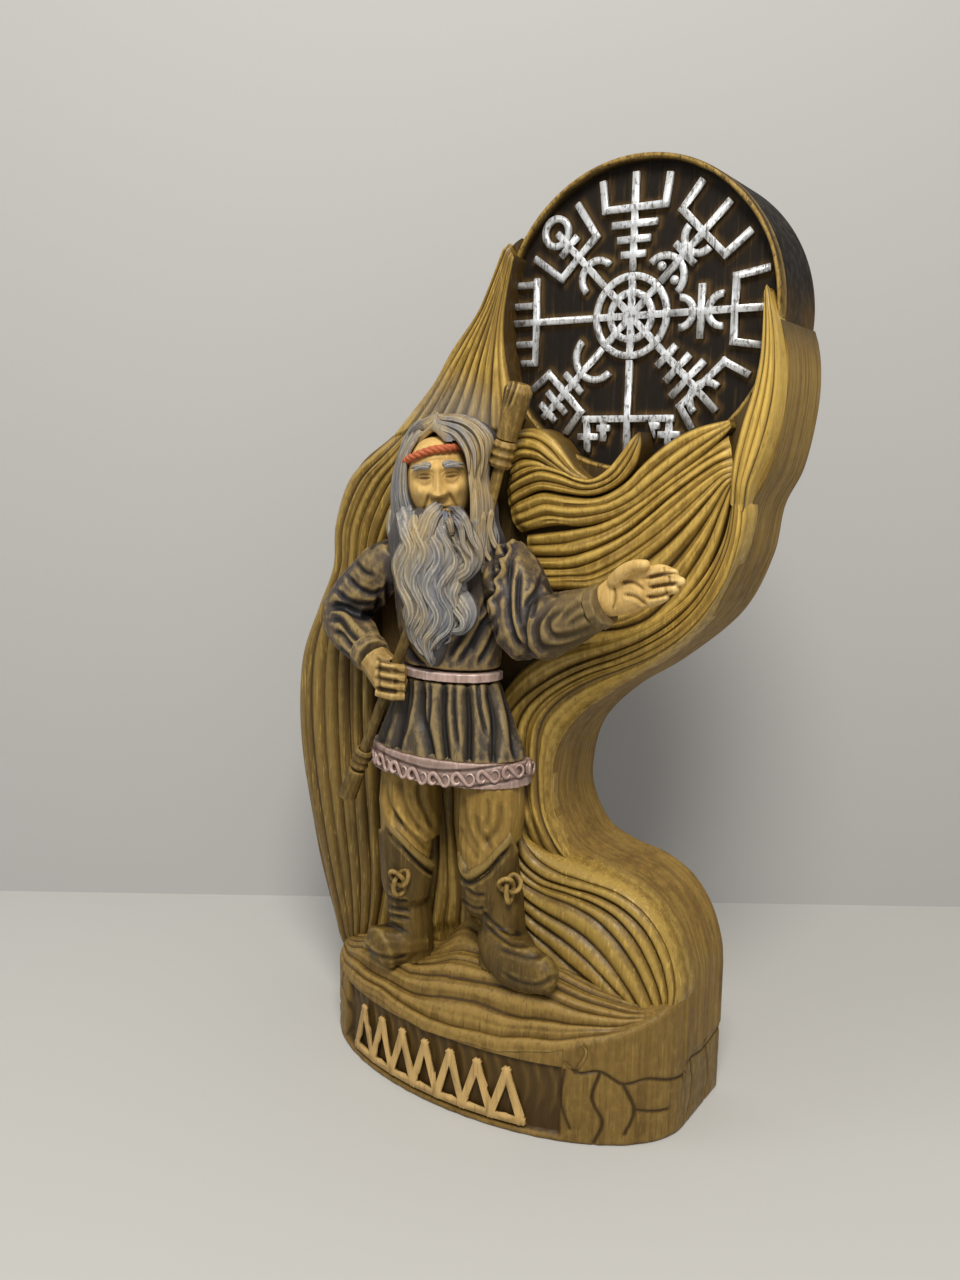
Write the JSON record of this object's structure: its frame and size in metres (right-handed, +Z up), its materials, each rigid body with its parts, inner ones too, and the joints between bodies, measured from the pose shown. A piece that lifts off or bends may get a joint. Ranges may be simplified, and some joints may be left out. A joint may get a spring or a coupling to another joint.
{
  "type": "carved wooden dwarf figurine",
  "caption": "Carved wooden dwarf with staff and open hand on a bowed plinth, before a board of flowing locks that carries a round compass-stave panel.",
  "frame": {"origin": "on the surface it stands on, under the middle of the carving's width and depth", "axes": "+Z up; -Y is the front that the figure faces; +X is the viewer's right, on the side of the round panel"},
  "size_m": [0.184, 0.066, 0.3],
  "materials": {
    "honey_wood": "oiled, dark stain wiped into the grooves",
    "side_wood": "sanded, oiled",
    "blackened_wood": "scorched and stained black",
    "silver_paint": "dry-brushed silver paint",
    "tunic_stain": "charcoal stain rubbed back on the ridges",
    "trim_paint": "worn rose-silver paint",
    "hair_stain": "blue-grey wash over honey wood",
    "skin_wood": "pale oiled wood",
    "rope_paint": "brick-red paint",
    "boot_stain": "olive-brown stain"
  },
  "bodies": {
    "root": {"plinth": "honey_wood", "ground": "honey_wood", "disc_rim": "honey_wood", "fringe_left": "honey_wood", "fan_left": "honey_wood", "folds_behind_legs": "honey_wood", "hump_flow": "honey_wood", "sweep_lower": "honey_wood", "waves_middle": "honey_wood", "flames_middle": "honey_wood", "flame_right": "honey_wood", "trouser_left": "honey_wood", "trouser_right": "honey_wood", "backboard": "side_wood", "disc_block": "blackened_wood", "compass_hub": "silver_paint", "compass_arm_north": "silver_paint", "compass_arm_northeast": "silver_paint", "compass_arm_east": "silver_paint", "compass_arm_southeast": "silver_paint", "compass_arm_south": "silver_paint", "compass_arm_southwest": "silver_paint", "compass_arm_west": "silver_paint", "compass_arm_northwest": "silver_paint", "compass_dot_upper": "silver_paint", "compass_dot_lower": "silver_paint", "tunic_skirt": "tunic_stain", "tunic_chest": "tunic_stain", "upper_sleeve_left": "tunic_stain", "forearm_sleeve_left": "tunic_stain", "cuff_left": "tunic_stain", "upper_sleeve_right": "tunic_stain", "forearm_sleeve_right": "tunic_stain", "cuff_right": "tunic_stain", "hem_band": "trim_paint", "belt": "trim_paint", "hair": "hair_stain", "moustache": "hair_stain", "beard": "hair_stain", "face": "skin_wood", "fist_left": "skin_wood", "open_hand_right": "skin_wood", "plinth_ornament": "skin_wood", "headband": "rope_paint", "boot_left": "boot_stain", "boot_right": "boot_stain", "boot_cuff_left": "boot_stain", "boot_cuff_right": "boot_stain", "boot_knot_left": "boot_stain", "boot_knot_right": "boot_stain", "staff_shaft": "boot_stain", "staff_butt": "boot_stain", "staff_wraps": "boot_stain", "staff_grip": "boot_stain", "staff_collars": "boot_stain", "staff_neck": "boot_stain"}
  },
  "joints": []
}
